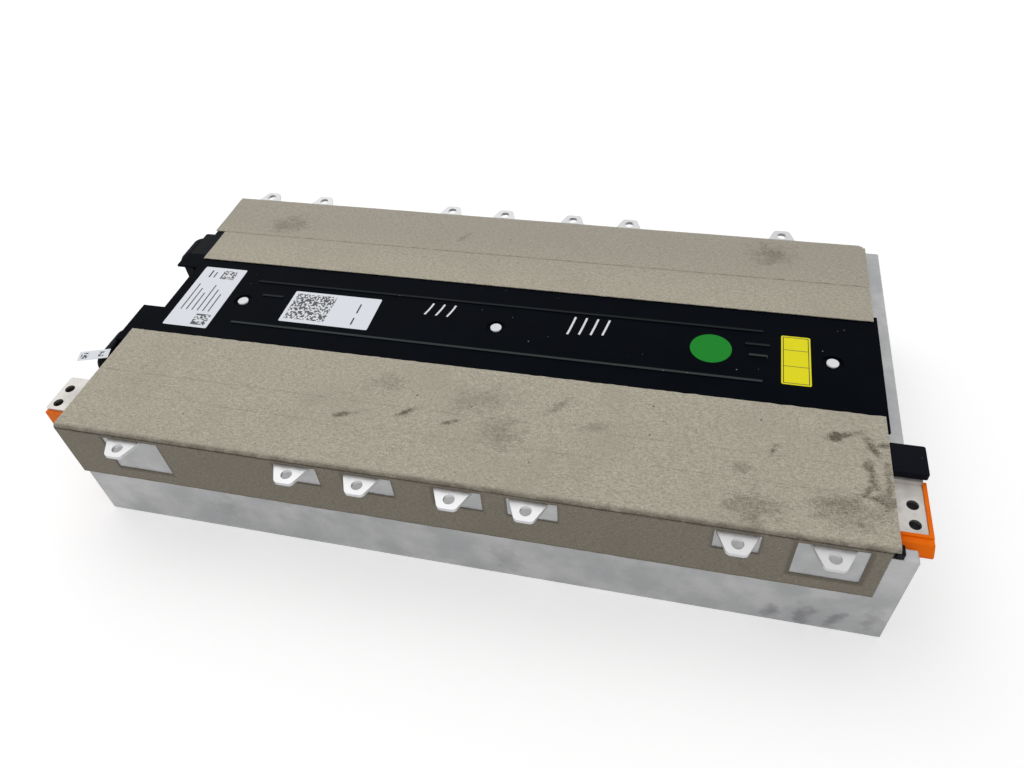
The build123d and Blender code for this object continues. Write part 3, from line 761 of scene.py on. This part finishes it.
# ------------------------------------------------------------------ settings
class ModuleSettings(bpy.types.PropertyGroup):
    """What a user may change before making the pieces."""

    thickness: bpy.props.FloatProperty(
        name="Cloth thickness", description="Thickness of the cloth, in millimetres",
        default=0.7, min=0.2, max=1.1)
    ripple: bpy.props.FloatProperty(
        name="Ripple", description="How far the cloth lifts off its lids, in millimetres",
        default=0.5, min=0.0, max=2.0)
    grid_step: bpy.props.FloatProperty(
        name="Grid step", description="Size of the cloth's faces, in millimetres",
        default=2.0, min=1.0, max=10.0)
    stroke_width: bpy.props.FloatProperty(
        name="Pen width", description="Width of the hand marks, in millimetres",
        default=1.8, min=0.5, max=5.0)
    key_power: bpy.props.FloatProperty(
        name="Key light", description="Power of the main lamp, in watts",
        default=11.0, min=0.0, unit="POWER")


class ModuleStep:
    """What all the steps share."""

    bl_options = {"REGISTER", "UNDO"}

    @property
    def settings(self):
        return bpy.context.scene.battery_module


class MODULE_OT_cad_finish(ModuleStep, bpy.types.Operator):
    """Give every CAD node its procedural material"""

    bl_idname = "module.cad_finish"
    bl_label = "Finish the CAD nodes"

    def execute(self, context):
        for entry in frame["record"]["subparts"]:
            solid = frame["nodes"][entry["node"]]
            solid.data.materials.clear()
            solid.data.materials.append(material_for(entry["material_slot"]))
        return {"FINISHED"}


class MODULE_OT_wraps(ModuleStep, bpy.types.Operator):
    """Lay and fold the three cloth sheets"""

    bl_idname = "module.wraps"
    bl_label = "Cloth wraps"

    def execute(self, context):
        wrap_sheet("wrap_front", FRONT, self.settings)
        wrap_sheet("wrap_back", BACK, self.settings)
        strip_sheet(self.settings)
        fray()
        return {"FINISHED"}


class MODULE_OT_prints(ModuleStep, bpy.types.Operator):
    """Put plain fields and bars on the labels"""

    bl_idname = "module.prints"
    bl_label = "Label prints"

    def execute(self, context):
        ink = plastic_material("print_ink", (0.02, 0.02, 0.022), 0.5)
        cells = code_field_material()
        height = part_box("label_white_large")[1].z + PRINT_GAP
        bars = [(-287.0 + i * 5.4, -285.9 + i * 5.4, -16.0, 20.0 - 6.0 * (i % 3)) for i in range(6)]
        bars += [(-284.0, -282.4, 30.0, 40.0), (-279.0, -277.8, 30.0, 38.0)]
        flat_pieces("print_large_bars", bars, height, "label_white", ink)
        flat_pieces("print_large_cells", [(-268.0, -254.0, -34.0, -20.0), (-272.0, -258.0, 29.0, 41.0)],
                    height, "label_white", cells)
        flat_pieces("print_small_cells", [(-188.0, -150.0, -13.5, 20.0)], height, "label_white", cells)
        flat_pieces("print_small_bars", [(-126.0, -124.6, 2.0, 14.0), (-126.0, -124.6, -13.0, -4.0)],
                    height, "label_white", ink)
        fields = [(-11.0, -4.5, -3.8, 3.2), (4.0, 9.0, -3.0, 3.0)]
        flag = flat_pieces("print_flag_cells", fields, 0.0, "label_white", cells)
        low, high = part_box("harness_flag")
        middle = (low + high) / 2
        middle.z = high.z + PRINT_GAP
        flag.data.transform(Matrix.Translation(middle) @ Matrix.Rotation(math.radians(FLAG_TURN), 4, "Z"))
        low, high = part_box("label_yellow")
        x0, x1, y0, y1 = (low.x / MM, high.x / MM, low.y / MM, high.y / MM)
        lines = frame_bars(x0 + 1.3, x1 - 1.3, y0 + 1.3, y1 - 1.3, 0.6)
        third = (y1 - y0) / 3
        lines += [(x0 + 1.3, x1 - 1.3, y0 + third * k + 1.5, y0 + third * k + 2.0) for k in (1, 2)]
        flat_pieces("print_yellow_frame", lines, high.z + PRINT_GAP, "label_yellow", ink)
        return {"FINISHED"}


class MODULE_OT_marks(ModuleStep, bpy.types.Operator):
    """Draw the white hand marks as plain strokes"""

    bl_idname = "module.marks"
    bl_label = "Hand marks"

    def execute(self, context):
        width = self.settings.stroke_width
        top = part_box("label_green")[0].z
        paint = label_material("mark_paint", (0.88, 0.88, 0.90), 0.6, 0.1)
        right = [[(59.0 + step, 4.0 + k), (61.0 + step, 14.0 + k), (62.5 + step, 26.0)]
                 for k, step in enumerate((0.0, 9.5, 19.0, 28.5))]
        left = [[(-66.0 + step, 10.0), (-63.0 + step, 18.0), (-62.0 + step, 25.0)]
                for step in (0.0, 10.0, 20.0)]
        for name, strokes in (("mark_right", right), ("mark_left", left)):
            drawn = [brush_stroke(f"{name}_{k}", points, top, width) for k, points in enumerate(strokes)]
            finish_piece(join_as(name, drawn), "label_white", paint)
        return {"FINISHED"}


class MODULE_OT_stage(ModuleStep, bpy.types.Operator):
    """Set up the pale floor, the soft lamps and the camera"""

    bl_idname = "module.stage"
    bl_label = "Studio"

    def execute(self, context):
        scene = context.scene
        make_floor()
        make_world(scene)
        make_lamp("key", (-0.7, 0.7, 1.8), 1.8, self.settings.key_power)
        make_lamp("fill", (1.2, -1.3, 1.5), 2.2, self.settings.key_power * 0.35)
        make_camera(scene)
        scene.view_settings.view_transform = "Standard"
        return {"FINISHED"}


def is_seen_directly(tree):
    """1 for camera, mirror and glass rays, else 0."""
    path = tree.nodes.new("ShaderNodeLightPath")
    seen = maths(tree, "MAXIMUM", path.outputs["Is Camera Ray"], path.outputs["Is Glossy Ray"])
    return maths(tree, "MAXIMUM", seen, path.outputs["Is Transmission Ray"])


def make_floor():
    """A wide pale floor that shows white and keeps the module's shadow."""
    bpy.ops.object.select_all(action="DESELECT")
    bpy.ops.mesh.primitive_plane_add(size=14.0, location=(0, 0, 0))
    floor = bpy.context.active_object
    floor.name = "floor"
    made, tree, shader = material("floor")
    seen = is_seen_directly(tree)
    colour = mix_colour(tree, seen, (0.78, 0.78, 0.78), (0.98, 0.98, 0.98))
    tree.links.new(colour, shader.inputs["Base Color"])
    shader.inputs["Roughness"].default_value = 1.0
    shader.inputs["Specular IOR Level"].default_value = 0.0
    shader.inputs["Emission Color"].default_value = (1.0, 1.0, 1.0, 1.0)
    tree.links.new(maths(tree, "MULTIPLY", seen, 0.30), shader.inputs["Emission Strength"])
    floor.data.materials.append(made)


def make_world(scene):
    """An even pale sky that shows white."""
    world = bpy.data.worlds.new("studio")
    world.use_nodes = True
    tree = world.node_tree
    back = tree.nodes["Background"]
    seen = is_seen_directly(tree)
    strength = maths(tree, "ADD", maths(tree, "MULTIPLY", seen, 0.45), 0.55)
    tree.links.new(strength, back.inputs["Strength"])
    back.inputs["Color"].default_value = (1.0, 1.0, 1.0, 1.0)
    scene.world = world


def make_lamp(name, place, size, power):
    """A square area lamp aimed at the middle of the module."""
    data = bpy.data.lights.new(name, "AREA")
    data.size = size
    data.energy = power
    lamp = bpy.data.objects.new(name, data)
    lamp.location = place
    aim = Vector((0.0, 0.0, 0.05)) - Vector(place)
    lamp.rotation_euler = aim.to_track_quat("-Z", "Y").to_euler()
    bpy.context.scene.collection.objects.link(lamp)


def make_camera(scene):
    """The photograph's viewpoint: above the module, right of its middle, in front."""
    data = bpy.data.cameras.new("camera")
    data.sensor_width = 36.0
    data.lens = 27.96
    data.clip_start = 0.01
    camera = bpy.data.objects.new("camera", data)
    camera.location = (0.15327, -0.47187, 0.54610)
    camera.rotation_euler = tuple(math.radians(a) for a in (44.369, 3.787, 13.114))
    scene.collection.objects.link(camera)
    scene.camera = camera


STEPS = (MODULE_OT_cad_finish, MODULE_OT_wraps, MODULE_OT_prints, MODULE_OT_marks, MODULE_OT_stage)


class MODULE_PT_panel(bpy.types.Panel):
    """The steps, in order"""

    bl_idname = "MODULE_PT_panel"
    bl_label = "Battery module"
    bl_space_type = "VIEW_3D"
    bl_region_type = "UI"
    bl_category = "Module"

    def draw(self, context):
        settings = context.scene.battery_module
        for name in ("thickness", "ripple", "grid_step", "stroke_width", "key_power"):
            self.layout.prop(settings, name)
        for step in STEPS:
            self.layout.operator(step.bl_idname)


CLASSES = (ModuleSettings, *STEPS, MODULE_PT_panel)


def register():
    for entry in CLASSES:
        bpy.utils.register_class(entry)
    bpy.types.Scene.battery_module = bpy.props.PointerProperty(type=ModuleSettings)


def unregister():
    del bpy.types.Scene.battery_module
    for entry in reversed(CLASSES):
        bpy.utils.unregister_class(entry)


def main():
    register()
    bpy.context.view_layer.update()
    bpy.ops.module.cad_finish()
    bpy.ops.module.wraps()
    bpy.ops.module.prints()
    bpy.ops.module.marks()
    bpy.ops.module.stage()


if __name__ == "__main__":
    main()
